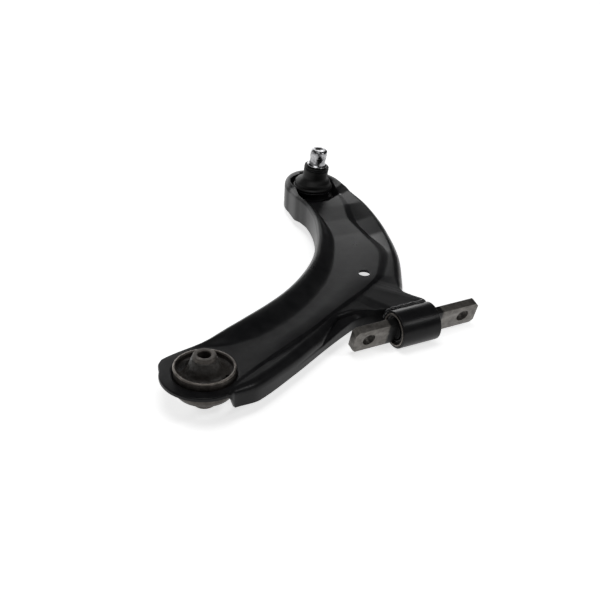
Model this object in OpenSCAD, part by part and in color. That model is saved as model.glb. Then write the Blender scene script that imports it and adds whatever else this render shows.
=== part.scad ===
// Front lower control arm: a pressed sheet-steel arm with a vertical rear bush,
// a front bush with a flat two-hole bar pin, and a pinch-stud ball joint.
// Origin: rear bush axis at the sheet's top face. +X runs to the front bush's end
// along its bar pin, +Y outboard to the ball joint, +Z up along the rear bush. mm.

/* [Pressed arm] */
// Thickness of the pressed steel sheet
sheet_t = 3.4; // [2.6:0.1:4.2]
// Height of the rounded rim over the flat web, on the concave edge
rim_h = 8; // [5:0.5:11]
// Outside radius of the rolled edge on the rim side
rim_roll = 5; // [4:0.5:8]
// Step down from the flat web to the outer band
band_drop = 3; // [1.5:0.5:5]
// Outside radius of the rolled edge on the outer band
band_roll = 12; // [8:0.5:14]
// Depth of the turned-down side flanges under the web
flange_depth = 26; // [20:1:32]
// Depth of the flange that wraps the ball joint end
end_flange_depth = 31; // [26:1:36]
// Reach of the rounded end round the ball joint, on the convex side
ball_end_r = 43; // [42:0.5:47]
// reach of the rounded end on the hollow side of the bend
ball_end_inner = 41.5; // [41:0.5:46]
// reach of the rounded end outboard
ball_end_out = 49.5; // [46:0.5:52]
// Height of the rim round the ball joint pocket, over the web
ball_rim_h = 7.5; // [4:0.5:9]
// Depth of the ball joint pocket's floor under the web
pocket_depth = 9; // [6:0.5:11]
// width of the ledge pressed into the flange beside the front bush
ledge = 12; // [6:0.5:14]
// how far the outer band dips at its crease, towards the ball joint
scoop = 3.5; // [1:0.5:5]
// Radius of the flat sheet round the rear bush
rear_plate_r = 48; // [45:0.5:52]
// Depth of the drawn collar that holds the rear bush
rear_collar_depth = 10; // [7:0.5:14]
// Depth of the drawn collar that holds the ball joint housing
ball_collar_depth = 11; // [8:1:14]
// Radius of the round hole in the web
web_hole_r = 7.6; // [6:0.1:10]
// place of the web hole along the arm
web_hole_x = 269.5; // [262:0.5:276]
// place of the web hole outboard
web_hole_y = 117.4; // [110:0.5:124]

/* [Front bush] */
// Outside radius of the welded tube
tube_r = 23.1; // [21:0.1:26]
// Wall of the welded tube
tube_wall = 3; // [2:0.25:4]
// Length of the welded tube
tube_length = 52; // [44:1:60]
// Wall of the pressed-in outer sleeve of the front bush
front_sleeve_wall = 1.6; // [1.2:0.1:2.4]
// How far the outer sleeve stands out of each end of the tube
front_sleeve_out = 0.8; // [0.4:0.2:2]
// Distance from the tube's axis out to the rear bush axis, along Y
tube_y = 11.4; // [8:0.2:15]
// Height of the tube's axis under the web
tube_drop = 17.2; // [15:0.1:20]
// Radius of the bar pin's round middle, inside the rubber
bar_core_r = 11.5; // [9:0.5:13]
// Overall length of the bar pin
bar_length = 171.5; // [160:0.5:182]
// Height of the bar pin's flat ends
bar_height = 31.5; // [27:0.5:34]
// Thickness of the bar pin's flat ends
bar_thick = 10.5; // [8:0.5:12]
// Corner chamfer of the bar pin's ends
bar_corner = 4; // [2:0.5:7]
// Turn of the bar pin about its own axis when the arm is free
bar_turn = 16; // [0:1:30]
// Radius of the bar pin's two bolt holes
bar_hole_r = 8.2; // [7:0.1:9]
// Spacing of the bar pin's two bolt holes
bar_hole_spacing = 132; // [120:1:140]
// Recess of the rubber's end faces inside the outer sleeve
front_rubber_recess = 4; // [2:0.5:8]

/* [Rear bush] */
// Outside radius of the rear bush's outer sleeve
rear_bush_r = 34.15; // [30:0.05:38]
// Wall of the rear bush's outer sleeve
rear_sleeve_wall = 2.6; // [2:0.1:3]
// Height of the outer sleeve over the sheet's top face
rear_sleeve_top = 6.1; // [4:0.1:9]
// Length of the rear bush's outer sleeve
rear_sleeve_length = 29.5; // [25:1:34]
// Outside radius of the rear bush's inner sleeve
rear_inner_r = 12.9; // [12:0.1:14]
// Bore radius of the rear bush's inner sleeve
rear_bore_r = 7.2; // [5.5:0.1:9]
// Length of the rear bush's inner sleeve
rear_inner_length = 63; // [56:1:70]
// Height of the inner sleeve's top over the sheet's top face
rear_inner_top = 23; // [18:0.5:28]
// How far the rear rubber starts under the inner sleeve's top
rear_rubber_drop = 4.5; // [3:0.5:12]
// Width of the crescent voids through the rear rubber
void_width = 6.5; // [4:0.5:9]
// Angle that each crescent void covers
void_angle = 84; // [50:2:110]

/* [Ball joint] */
// Distance of the ball joint axis from the rear bush axis, along X
ball_x = 326.8; // [318:0.1:338]
// Distance of the ball joint axis from the rear bush axis, along Y
ball_y = 358.9; // [350:0.1:366]
// Depth of the ball's centre under the web
ball_centre_drop = 9; // [8:0.5:11]
// Radius of the stud's ball
ball_r = 15; // [14.5:0.1:15.5]
// Outside radius of the pressed-in housing
housing_r = 25; // [24:0.1:26]
// Wall of the plastic bearing round the ball
bearing_wall = 4.5; // [4:0.1:5]
// Radius of the stud's neck over the ball
neck_r = 7.8; // [7:0.1:8]
// Radius of the stud's clamped shank
stud_r = 10.8; // [10.4:0.1:11.2]
// Height of the stud's top over the web, with the stud upright
stud_top = 60.5; // [58:0.5:66]
// Depth of the pinch bolt groove round the shank
pinch_depth = 0.7; // [0.4:0.1:1.6]
// Lean of the free stud about X, away from the housing axis
stud_lean_x = 3; // [0:0.5:6]
// Lean of the free stud about Y, away from the housing axis
stud_lean_y = 5; // [0:0.2:8]
// Radius of the boot's straight top
boot_top_r = 17.2; // [15.5:0.1:19]
// how far the boot's foot stands out past the housing
boot_flare = 2.4; // [1.5:0.1:4]
// Height of the boot's top over the web
boot_top = 36; // [33:0.5:38]
// Wall of the rubber boot
boot_wall = 2; // [1.6:0.1:2.6]

/* [Hidden] */
$fn = 96;
eps = 0.01;
fit_gap = 0.05; // running and seating clearance between separate pieces
seat_gap = 0.3; // clearance between pieces that only lie near each other
tube_x = 248.5; // rear end of the welded tube
weld_leg = 6;
through = 100; // reach of a cut that goes right through

tube_z = -tube_drop;
ball_z = -ball_centre_drop;
floor_z = -pocket_depth;
sheet_edge = -(sheet_t + 0.9);

// ---- The pressed sheet -------------------------------------------------------------
// The sheet is one skin over a closed edge line. Each row of the edge line holds:
// edge x, y; foot of the rim or crease of the band x, y; spine index; level of the edge;
// roll radius; bottom of the flange; width of the ramp up to the foot (wide = all of it);
// width of the ledge pressed into the flange; how far the band dips towards the ramp.
wide = 60;
spine = [[0, 0, 0], [50, 14, 0], [98, 26, 0], [145, 47, 0], [190, 76, 0], [234, 108, 0],
    [266, 141, 0], [287, 176, 0], [299, 217, 0], [308, 257, 0], [317, 293, 0],
    [326, 309, 0], [329, 318, floor_z], [ball_x, ball_y, floor_z]];
// how many strips each stretch of the spine is cut into
strips = [4, 4, 4, 4, 4, 4, 4, 4, 4, 4, 2, 2, 2];

bd = -band_drop;
fl = -flange_depth;
efl = -end_flange_depth;
rp = rear_plate_r;
tube_top_y = tube_y + tube_r * 0.6;

rear_arc = [for (a = [150 : 12 : 270])
    [rp * cos(a) - 1.5, rp * sin(a), (rp - 7) * cos(a), (rp - 7) * sin(a), 0, 0, 1.5, sheet_edge, 2, 0, 0]];
right_side = [
    [6, -rp + 0.5, 4, -40, 0, 0, 1.5, sheet_edge, 2, 0, 0],
    [10.5, -46.8, 8, -38, 0, -0.2, 4, -9, 4, 0, 0],
    [16, -44, 13, -35, 0, -0.5, 7, fl + 3.5, 4, 0, 0],
    [47, -38.9, 46, -16, 1, -1, 11, fl, 6, 0, 0],
    [106, -11, 99, 9, 2, bd, band_roll, fl, 4, 0, 0.3],
    [154.5, 15, 148, 31.5, 3, bd, band_roll, fl, 4, ledge * 0.08, 0.3],
    [176, 26, 169, 43, 4, bd, 8, fl, 4, ledge * 0.55, 0.3],
    [194.5, 35, 189, 54, 4, bd, 5, fl, 4, ledge, 0],
    [213.5, 43, 208, 64.5, 4, bd, 4, fl, 5, ledge * 0.5, 0],
    [228, 44, 219, 70, 4, bd, 3, fl, 5, ledge * 0.12, 0],
    [239, 39, 227, 73.5, 4, bd, 3, fl, 5, 0, 0],
    [249, 33, 235, 77.5, 5, bd, 3, fl + 8, 5, 0, 0],
    [258, tube_top_y, 241, 80.5, 5, bd, 2, bd - sheet_t - 1, 5, 0, 0],
    [280, tube_top_y, 250, 85.5, 5, bd, 1.5, bd - sheet_t - 1, 5, 0, 0],
    [300.5, tube_top_y, 258, 90, 5, bd, 1.5, bd - sheet_t - 1, 5, 0, 0],
    [303, 32, 263, 93.5, 5, bd, 1.5, bd - sheet_t - 1, 5, 0, 0],
    [297, 46, 268, 97, 5, bd, 1.5, bd - sheet_t - 1, 5, 0, 0.3],
    [292.5, 60, 272, 100, 5, bd, 3, bd - sheet_t - 2, 6, 0, 0.6],
    [297, 70, 276, 104, 5, bd, 8, fl + 4, 6, 0, 0.8],
    [308.5, 88, 283, 111, 6, bd, band_roll, fl, 6, 0, scoop * 0.4],
    [341, 147.5, 313.5, 160.5, 7, bd, band_roll, fl, 9, 0, scoop * 0.7],
    [363, 208, 321, 214, 8, bd, band_roll, fl, 14, 0, scoop],
    [373, 252, 324, 254, 9, bd + 0.7, band_roll, fl, 14, 0, scoop],
    [377, 294, 336, 291, 10, bd + 2, band_roll - 1, fl, 9, 0, scoop * 0.15],
    [375.5, 333, 343, 318, 11, bd + 2.6, band_roll - 3, fl - 2, 14, 0, 0],
    [375.5, 344, 345, 326, 12, 0.5, rim_roll + 2, fl - 2, 14, 0, 0],
    [374, 352, 348, 334, 12, ball_rim_h - 0.5, rim_roll, efl, wide, 0, 0]];
ball_arc = [for (a = [0 : 12 : 180])
    [ball_x + 4.3 + (a > 90 ? ball_end_inner : ball_end_r) * cos(a), ball_y + ball_end_out * sin(a),
        ball_x + (housing_r + 4) * cos(a), ball_y + (housing_r + 4) * sin(a),
        13, ball_rim_h + 1.5 * sin(a), rim_roll, efl, wide, 0, 0]];
left_side = [
    [286, 334, 299, 326, 12, rim_h - 0.5, rim_roll, efl, wide, 0, 0],
    [286, 318, 302, 308, 11, rim_h, rim_roll, efl + 3.5, wide, 0, 0],
    [285, 296, 301, 290, 10, rim_h, rim_roll, fl, wide, 0, 0],
    [277, 263, 296, 257, 9, rim_h, rim_roll, fl, wide, 0, 0],
    [261.5, 228, 283, 218, 8, rim_h, rim_roll, fl, wide, 0, 0],
    [245.5, 200.5, 266, 184, 7, rim_h, rim_roll, fl, wide, 0, 0],
    [222, 167.5, 242, 147, 6, rim_h, rim_roll, fl, wide, 0, 0],
    [191, 137, 213, 113.5, 5, rim_h, rim_roll, fl, wide, 0, 0],
    [157.5, 112, 178, 84, 4, rim_h, rim_roll, fl, wide, 0, 0],
    [124.5, 93.5, 137, 58, 3, rim_h, rim_roll, fl, wide, 0, 0],
    [83.5, 75.5, 92, 40, 2, rim_h - 0.3, rim_roll, fl, wide, 0, 0],
    [56, 65, 66, 36.5, 1, rim_h - 1.3, rim_roll, fl, wide, 0, 0],
    [41.5, 60, 50, 35, 1, rim_h - 2.8, rim_roll, fl, wide, 0, 0],
    [30, 57, 37, 38, 0, 3.2, rim_roll, fl + 5, wide, 0, 0],
    [20, 54.5, 25, 41, 0, 1.2, 3, -12, wide, 0, 0],
    [8, 52, 9, 43, 0, 0.1, 1.5, sheet_edge, 6, 0, 0],
    [-14, 47.8, -12, 39, 0, 0, 1.5, sheet_edge, 2, 0, 0],
    [-31.5, 42.8, -26.5, 34, 0, 0, 1.5, sheet_edge, 2, 0, 0],
    [-36, 39, -30, 31, 0, 0, 1.5, sheet_edge, 2, 0, 0],
    [-39.8, 34, -34, 26, 0, 0, 1.5, sheet_edge, 2, 0, 0]];
rows = concat(rear_arc, right_side, ball_arc, left_side);
n_rows = len(rows);

function xy(p) = [p[0], p[1]];
function foot(r) = [r[2], r[3]];
function hermite(p0, p1, p2, p3, t) =
    let (a = max(norm(p1 - p0), eps), b = max(norm(p2 - p1), eps), c = max(norm(p3 - p2), eps),
        m1 = (p2 - p0) / (a + b) * b, m2 = (p3 - p1) / (b + c) * b)
    (2 * t * t * t - 3 * t * t + 1) * p1 + (t * t * t - 2 * t * t + t) * m1
        + (3 * t * t - 2 * t * t * t) * p2 + (t * t * t - t * t) * m2;
function ring_row(i) = rows[(i + n_rows) % n_rows];
function cuts(i) = let (a = ring_row(i)[4], b = ring_row(i + 1)[4])
    a != b ? strips[min(a, b)] : a == 4 || a == 5 ? 2 : 1;
function between(i, t) = let (a = ring_row(i), b = ring_row(i + 1))
    [for (k = [4 : 10]) a[k] + (b[k] - a[k]) * t];
loop = [for (i = [0 : n_rows - 1]) for (s = [0 : cuts(i) - 1])
    let (t = s / cuts(i),
        e = hermite(xy(ring_row(i - 1)), xy(ring_row(i)), xy(ring_row(i + 1)), xy(ring_row(i + 2)), t),
        f = hermite(foot(ring_row(i - 1)), foot(ring_row(i)), foot(ring_row(i + 1)),
            foot(ring_row(i + 2)), t))
    concat(e, f, between(i, t))];
n_loop = len(loop);

// spine points: every strip's line, with its level
spine_pts = [for (k = [0 : len(strips) - 1]) for (s = [0 : strips[k] - 1])
    spine[k] + (spine[k + 1] - spine[k]) * s / strips[k], spine[len(strips)]];
first_of = [for (k = 0, n = 0; k <= len(strips); n = n + (k < len(strips) ? strips[k] : 0), k = k + 1) n];
function spine_id(u) = let (k = min(floor(u + 0.0001), len(strips) - 1))
    round(first_of[k] + (u - k) * strips[k]);

roll_steps = 4;
ramp_steps = 5;
// the flange's ledge: share of the flange's height, share of the ledge's width
ledge_curve = [[0.5, 0], [0.7, 0.08], [0.79, 0.85], [0.92, 1]];
function smooth(t) = t * t * (3 - 2 * t);
// one line of the skin, from the flange's bottom over the roll and the ramp to the foot:
// in = 0 is the outer face, in = sheet_t the inner one
function line(p, in) =
    let (e = [p[0], p[1]], f = [p[2], p[3]], dir = (f - e) / norm(f - e), len_ef = norm(f - e),
        level = p[5], r0 = p[6], ri = max(r0 - sheet_t, 0.4), r = in == 0 ? r0 : ri,
        bottom = min(p[7], level - sheet_t - ri - 0.2), base = spine_pts[spine_id(p[4])][2],
        step = p[9], under = in * min(step / 6, 0.9), roll_low = level - in - r,
        start = max(r0, in + ri) + step, ramp = min(p[8], len_ef - start - 0.3),
        d1 = len_ef - ramp, low = level - p[10])
    concat([[each e + dir * in, bottom]],
        [for (s = ledge_curve) [each e + dir * (in + step * s[1]),
            max(bottom + (roll_low - bottom) * s[0] - under, bottom + 0.1 * s[0])]],
        [for (k = [0 : roll_steps]) let (a = 90 * k / roll_steps)
            [each e + dir * (in + step + r * (1 - cos(a))), level - in - r * (1 - sin(a))]],
        [for (k = [0 : ramp_steps]) let (t = k / ramp_steps)
            [each e + dir * (d1 + ramp * t), low + (base - low) * smooth(t) - in]]);
n_line = 1 + len(ledge_curve) + roll_steps + ramp_steps + 2;
n_spine = len(spine_pts);
outer_pts = [for (p = loop) each line(p, 0)];
inner_pts = [for (p = loop) each line(p, sheet_t)];
spine_top = [for (p = spine_pts) p];
spine_low = [for (p = spine_pts) [p[0], p[1], p[2] - sheet_t]];
o_in = len(outer_pts);
o_st = 2 * o_in;
o_sl = o_st + n_spine;
function nxt(i) = (i + 1) % n_loop;
function face_set(off, sp, flip) = [for (i = [0 : n_loop - 1])
    let (j = nxt(i), s0 = spine_id(loop[i][4]), s1 = spine_id(loop[j][4]))
    each concat(
        [for (k = [0 : n_line - 2]) each
            let (a = off + i * n_line + k, b = off + j * n_line + k)
            flip ? [[a, b + 1, b], [a, a + 1, b + 1]] : [[a, b, b + 1], [a, b + 1, a + 1]]],
        let (a = off + i * n_line + n_line - 1, b = off + j * n_line + n_line - 1)
        s0 == s1 ? [flip ? [a, sp + s0, b] : [a, b, sp + s0]]
        : flip ? [[a, sp + s1, b], [a, sp + s0, sp + s1]] : [[a, b, sp + s1], [a, sp + s1, sp + s0]])];
rim_faces = [for (i = [0 : n_loop - 1]) let (j = nxt(i), a = i * n_line, b = j * n_line)
    each [[a, b, o_in + b], [a, o_in + b, o_in + a]]];

module pressed_skin() {
    polyhedron(points = concat(outer_pts, inner_pts, spine_top, spine_low),
        faces = concat(face_set(0, o_st, true), face_set(o_in, o_sl, false), rim_faces),
        convexity = 8);
}

module rear_collar() {
    // drawn down from the sheet, with a rolled mouth
    rotate_extrude()
        difference() {
            translate([rear_bush_r, -rear_collar_depth])
                square([sheet_t, rear_collar_depth - sheet_t + 0.5]);
        }
}

module ball_collar() {
    translate([ball_x, ball_y, floor_z - ball_collar_depth])
        difference() {
            cylinder(r = housing_r + sheet_t, h = ball_collar_depth - sheet_t + 0.5);
            translate([0, 0, -1])
                cylinder(r = housing_r, h = ball_collar_depth + 2);
        }
}

module arm_shell() {
    color("#2b2b2e")
        difference() {
            union() {
                pressed_skin();
                rear_collar();
                ball_collar();
            }
            translate([0, 0, -through])
                cylinder(r = rear_bush_r, h = 2 * through);
            // rounded mouth of the rear collar
            translate([0, 0, -4])
                cylinder(r1 = rear_bush_r, r2 = rear_bush_r + 4.1, h = 4.1);
            translate([ball_x, ball_y, -through])
                cylinder(r = housing_r, h = 2 * through);
            translate([web_hole_x, web_hole_y, -through])
                cylinder(r = web_hole_r, h = 2 * through);
            translate([tube_x, tube_y, tube_z])
                rotate([0, 90, 0])
                    cylinder(r = tube_r, h = through);
        }
}

// ---- Front bush -------------------------------------------------------------------
module along_x(x) {
    translate([x, tube_y, tube_z])
        rotate([0, 90, 0])
            children();
}

module pipe(r_out, r_in, h) {
    difference() {
        cylinder(r = r_out, h = h);
        translate([0, 0, -1])
            cylinder(r = r_in, h = h + 2);
    }
}

tube_in = tube_r - tube_wall;
front_sleeve_in = tube_in - front_sleeve_wall;

module front_bush_tube() {
    color("#303033")
        along_x(tube_x)
            pipe(tube_r, tube_in, tube_length);
}

module front_bush_outer_sleeve() {
    color("#3a3a3c")
        along_x(tube_x - front_sleeve_out)
            pipe(tube_in, front_sleeve_in, tube_length + 2 * front_sleeve_out);
}

module front_bush_rubber() {
    h = tube_length + 2 * front_sleeve_out - 2 * front_rubber_recess;
    color("#1c1c1d")
        along_x(tube_x - front_sleeve_out + front_rubber_recess)
            pipe(front_sleeve_in, bar_core_r, h);
}

bar_x0 = tube_x + tube_length / 2 - bar_length / 2 + 2.8;
module bar_outline() {
    c = bar_corner;
    h = bar_height / 2;
    polygon([[0, -h + c], [c, -h], [bar_length - c, -h], [bar_length, -h + c],
        [bar_length, h - c], [bar_length - c, h], [c, h], [0, h - c]]);
}

module front_bar_pin() {
    // the flats stop just outside the rubber, and the round core joins them
    rubber_x = tube_x - front_sleeve_out + front_rubber_recess - bar_x0;
    rubber_l = tube_length + 2 * front_sleeve_out - 2 * front_rubber_recess;
    mid = bar_length / 2;
    color("#8a8178")
        translate([bar_x0, tube_y, tube_z])
            rotate([bar_turn, 0, 0])
                difference() {
                    union() {
                        difference() {
                            rotate([90, 0, 0])
                                translate([0, 0, -bar_thick / 2])
                                    linear_extrude(bar_thick)
                                        bar_outline();
                            translate([rubber_x - seat_gap, -bar_thick, -bar_height])
                                cube([rubber_l + 2 * seat_gap, 2 * bar_thick, 2 * bar_height]);
                        }
                        translate([rubber_x - 2, 0, 0])
                            rotate([0, 90, 0])
                                cylinder(r = bar_core_r, h = rubber_l + 4);
                    }
                    for (s = [-1, 1])
                        translate([mid + s * bar_hole_spacing / 2, 0, 0])
                            rotate([90, 0, 0])
                                translate([0, 0, -bar_thick])
                                    cylinder(r = bar_hole_r, h = 2 * bar_thick);
                }
}

module weld_run(x0, x1) {
    // bead in the corner between the sheet's edge and the tube
    a = asin((bd - tube_z) / tube_r);
    along_x(x0)
        difference() {
            linear_extrude(x1 - x0)
                translate([-tube_r * sin(a), tube_r * cos(a)])
                    circle(r = weld_leg * 0.6, $fn = 32);
            translate([0, 0, -1])
                cylinder(r = tube_r, h = x1 - x0 + 2);
        }
}

module front_tube_welds() {
    color("#3c3a38")
        difference() {
            weld_run(tube_x + 2, tube_x + tube_length - 3);
            arm_shell_solid_keepout();
        }
}

module arm_shell_solid_keepout() {
    // the sheet over the tube, which the bead lies against
    translate([tube_x - 10, tube_y, bd - sheet_t])
        cube([tube_length + 20, 60, sheet_t]);
}

// ---- Rear bush --------------------------------------------------------------------
rear_sleeve_bottom = rear_sleeve_top - rear_sleeve_length;
rear_sleeve_in = rear_bush_r - rear_sleeve_wall;
rear_centre_z = (rear_sleeve_top + rear_sleeve_bottom) / 2;

module rear_bush_outer_sleeve() {
    lead = 5;
    color("#5a5652")
        rotate_extrude()
            polygon([[rear_sleeve_in, rear_sleeve_top - 0.6], [rear_sleeve_in + 0.6, rear_sleeve_top],
                [rear_bush_r - 0.9, rear_sleeve_top], [rear_bush_r, rear_sleeve_top - 0.9],
                [rear_bush_r, rear_sleeve_bottom + lead], [rear_bush_r - 2.6, rear_sleeve_bottom],
                [rear_sleeve_in - 2.6, rear_sleeve_bottom], [rear_sleeve_in, rear_sleeve_bottom + lead]]);
}

module rear_bush_rubber() {
    lo = rear_sleeve_bottom + 5.5;
    mid_r = (rear_inner_r + rear_sleeve_in) / 2;
    void_r = rear_sleeve_in - 1.6;
    color("#1e1d1c")
        difference() {
            rotate_extrude()
                polygon([[rear_inner_r, rear_inner_top - rear_rubber_drop],
                    [rear_inner_r + 1.8, rear_inner_top - rear_rubber_drop - 1],
                    [mid_r - 2, 2], [mid_r + 2, -1], [rear_sleeve_in - 2.5, -1.5], [rear_sleeve_in, 1],
                    [rear_sleeve_in, lo], [mid_r + 2, lo - 1], [mid_r - 2, lo - 3],
                    [rear_inner_r + 1.8, rear_inner_top - rear_inner_length + 10],
                    [rear_inner_r, rear_inner_top - rear_inner_length + 9]]);
            for (a = [100, 280])
                rotate([0, 0, a - void_angle / 2])
                    translate([0, 0, -through])
                        linear_extrude(2 * through)
                            crescent(void_r, void_width, void_angle);
        }
}

// a sector band with round ends
module crescent(r, w, ang) {
    mid = r - w / 2;
    difference() {
        intersection() {
            circle(r = r);
            polygon([[0, 0], [2 * r, 0], [2 * r * cos(ang / 3), 2 * r * sin(ang / 3)],
                [2 * r * cos(2 * ang / 3), 2 * r * sin(2 * ang / 3)], [2 * r * cos(ang), 2 * r * sin(ang)]]);
        }
        circle(r = r - w);
    }
    translate([mid, 0])
        circle(r = w / 2, $fn = 32);
    translate([mid * cos(ang), mid * sin(ang)])
        circle(r = w / 2, $fn = 32);
}

module rear_bush_inner_sleeve() {
    z1 = rear_inner_top;
    z0 = rear_inner_top - rear_inner_length;
    c = 0.8;
    color("#6a665f")
        rotate_extrude()
            polygon([[rear_bore_r + c, z1], [rear_inner_r - c, z1], [rear_inner_r, z1 - c],
                [rear_inner_r, z0 + c], [rear_inner_r - c, z0], [rear_bore_r + c, z0],
                [rear_bore_r, z0 + c], [rear_bore_r, z1 - c]]);
}

// ---- Ball joint -------------------------------------------------------------------
housing_in = ball_r + bearing_wall;
housing_top = ball_z + ball_r;
housing_low = ball_z - ball_r - 9;
shoulder_r = housing_r + sheet_t;
collar_low = floor_z - ball_collar_depth;
groove_z = floor_z + fit_gap;
ring_h = 2;
lip_r = 14.6;
bearing_top = 7.5;

module at_ball() {
    translate([ball_x, ball_y, 0])
        children();
}

// stands pieces on the stud's own axis, which leans about the ball's centre
module on_stud() {
    translate([ball_x, ball_y, ball_z])
        rotate([stud_lean_x, 0, 0])
            rotate([0, stud_lean_y, 0])
                translate([0, 0, -ball_z])
                    children();
}

module ball_joint_housing() {
    neck = housing_r - 1;
    bearing_level = ball_z + bearing_top + fit_gap;
    color("#3f3f41")
        at_ball()
            rotate_extrude()
                polygon([[lip_r, bearing_level], [housing_in, bearing_level], [housing_in, housing_low + 2],
                    [housing_in - 1.2, housing_low], [housing_r - 2, housing_low],
                    [housing_r - 0.6, housing_low + 1.4],
                    [housing_r - 0.6, collar_low - 3.4], [shoulder_r, collar_low - 3.4],
                    [shoulder_r, collar_low], [housing_r, collar_low],
                    [housing_r, floor_z], [neck - 0.6, floor_z],
                    [neck - 0.6, groove_z + ring_h + fit_gap], [housing_r - 0.2, groove_z + ring_h + fit_gap],
                    [housing_r - 0.2, groove_z + ring_h + 1.2], [neck - 0.4, groove_z + ring_h + 1.2],
                    [neck - 0.4, housing_top - 2], [neck, housing_top - 1.6], [neck, housing_top - 0.4],
                    [neck - 0.4, housing_top], [lip_r + 2, housing_top], [lip_r, housing_top - 4]]);
}

cover_t = 2.4;
cover_top = ball_z - ball_r - 3.2;
module ball_joint_bearing() {
    low = cover_top + fit_gap;
    color("#cfc9b8")
        at_ball()
            difference() {
                translate([0, 0, low])
                    cylinder(r = housing_in - fit_gap / 2, h = ball_z + bearing_top - low);
                translate([0, 0, ball_z])
                    sphere(r = ball_r + fit_gap);
                // the mouth that the neck leans into
                translate([0, 0, ball_z + 4])
                    cylinder(r1 = 12.6, r2 = 14.6, h = bearing_top);
            }
}

module ball_joint_cover_plate() {
    color("#55534f")
        at_ball()
            translate([0, 0, cover_top - cover_t])
                cylinder(r = housing_in - fit_gap / 2, h = cover_t);
}

module ball_joint_snap_ring() {
    in_r = housing_r - 1.6 + fit_gap;
    color("#77746e")
        at_ball()
            translate([0, 0, groove_z])
                difference() {
                    pipe(housing_r + 2.6, in_r, ring_h);
                    rotate([0, 0, 200])
                        translate([in_r - 1, -3, -1])
                            cube([6, 6, ring_h + 2]);
                }
}

collar_z = boot_top + 1;
module ball_stud() {
    groove_mid = stud_top - 15.5;
    groove_half = 5;
    color("#c9c9cc")
        on_stud() {
            translate([0, 0, ball_z])
                difference() {
                    sphere(r = ball_r);
                    translate([0, 0, -ball_r - 1])
                        cylinder(r = 6, h = 3);
                }
            rotate_extrude()
                polygon(concat([[0, ball_z + 4], [neck_r, ball_z + 4], [neck_r, ball_z + 16],
                    [stud_r, boot_top - 9], [stud_r, collar_z - 0.6], [stud_r + 2.2, collar_z],
                    [stud_r + 2.2, collar_z + 1.2], [stud_r, collar_z + 3]],
                    [for (i = [0 : 8]) let (t = -1 + i / 4)
                        [stud_r - pinch_depth * (1 - t * t), groove_mid + groove_half * t]],
                    [[stud_r, stud_top - 1.6], [stud_r - 1.6, stud_top], [2, stud_top],
                    [0, stud_top - 1.4]]));
        }
}

boot_base_r = housing_r + boot_flare;
boot_base_z = housing_top - 5;
module ball_joint_boot() {
    w = boot_wall;
    color("#161617")
        union() {
            at_ball()
                rotate_extrude()
                    polygon([[housing_r - 1.4 + fit_gap, boot_base_z], [boot_base_r - 1.6, boot_base_z],
                        [boot_base_r - 1.6, boot_base_z + 2.6], [boot_base_r, boot_base_z + 3.2],
                        [boot_base_r, boot_base_z + 5.4], [boot_base_r - 2.2, boot_base_z + 7],
                        [boot_base_r - 2.2, boot_base_z + 9], [boot_base_r - 3, boot_base_z + 12],
                        [boot_top_r + 1.5, boot_base_z + 15.6], [boot_top_r + 1.5 - w, boot_base_z + 15.6],
                        [boot_base_r - 3 - w, boot_base_z + 11], [boot_base_r - 2.6 - w, boot_base_z + 8],
                        [housing_r - 3, boot_base_z + 5.2], [housing_r - 1 + fit_gap, boot_base_z + 5.2],
                        [housing_r - 1 + fit_gap, boot_base_z + 3.2],
                        [housing_r - 1.4 + fit_gap, boot_base_z + 3]]);
            on_stud()
                rotate_extrude()
                    polygon([[boot_top_r + 2.6, boot_base_z + 13], [boot_top_r, boot_base_z + 18],
                        [boot_top_r, boot_top - 5], [boot_top_r - 1.4, boot_top - 4.4],
                        [boot_top_r - 1.4, boot_top - 2.6], [boot_top_r, boot_top - 2],
                        [boot_top_r, boot_top - 0.6], [boot_top_r - 0.6, boot_top],
                        [stud_r + fit_gap, boot_top], [stud_r + fit_gap, boot_top - 6.5],
                        [boot_top_r - w - 1, boot_top - 7.5], [boot_top_r - w, boot_base_z + 17.4],
                        [boot_top_r + 2.6 - w, boot_base_z + 13]]);
        }
}

module hoop(r, wire) {
    rotate_extrude()
        translate([r, 0])
            circle(r = wire, $fn = 24);
}

module boot_lower_ring() {
    wire = 0.9;
    color("#6c6a66")
        at_ball()
            translate([0, 0, boot_base_z + 1.3])
                hoop(boot_base_r - 1.6 + wire + fit_gap, wire);
}

module boot_upper_ring() {
    wire = 0.8;
    color("#6c6a66")
        on_stud()
            translate([0, 0, boot_top - 3.5])
                hoop(boot_top_r - 1.4 + wire + fit_gap, wire);
}

arm_shell();
front_bush_tube();
front_tube_welds();
front_bush_outer_sleeve();
front_bush_rubber();
front_bar_pin();
rear_bush_outer_sleeve();
rear_bush_rubber();
rear_bush_inner_sleeve();
ball_joint_housing();
ball_joint_bearing();
ball_joint_cover_plate();
ball_joint_snap_ring();
ball_stud();
ball_joint_boot();
boot_lower_ring();
boot_upper_ring();
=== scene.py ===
"""Looks of a pressed-steel suspension control arm: coated sheet, bushes, bar pin and ball joint.

Lengths are written in millimetres and turned into metres where meshes are made. The frame's
origin is on the rear bush's axis, level with the top of the sheet round it.
"""

import math

import bmesh
import bpy
import numpy as np
from mathutils import Matrix, Vector


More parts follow.
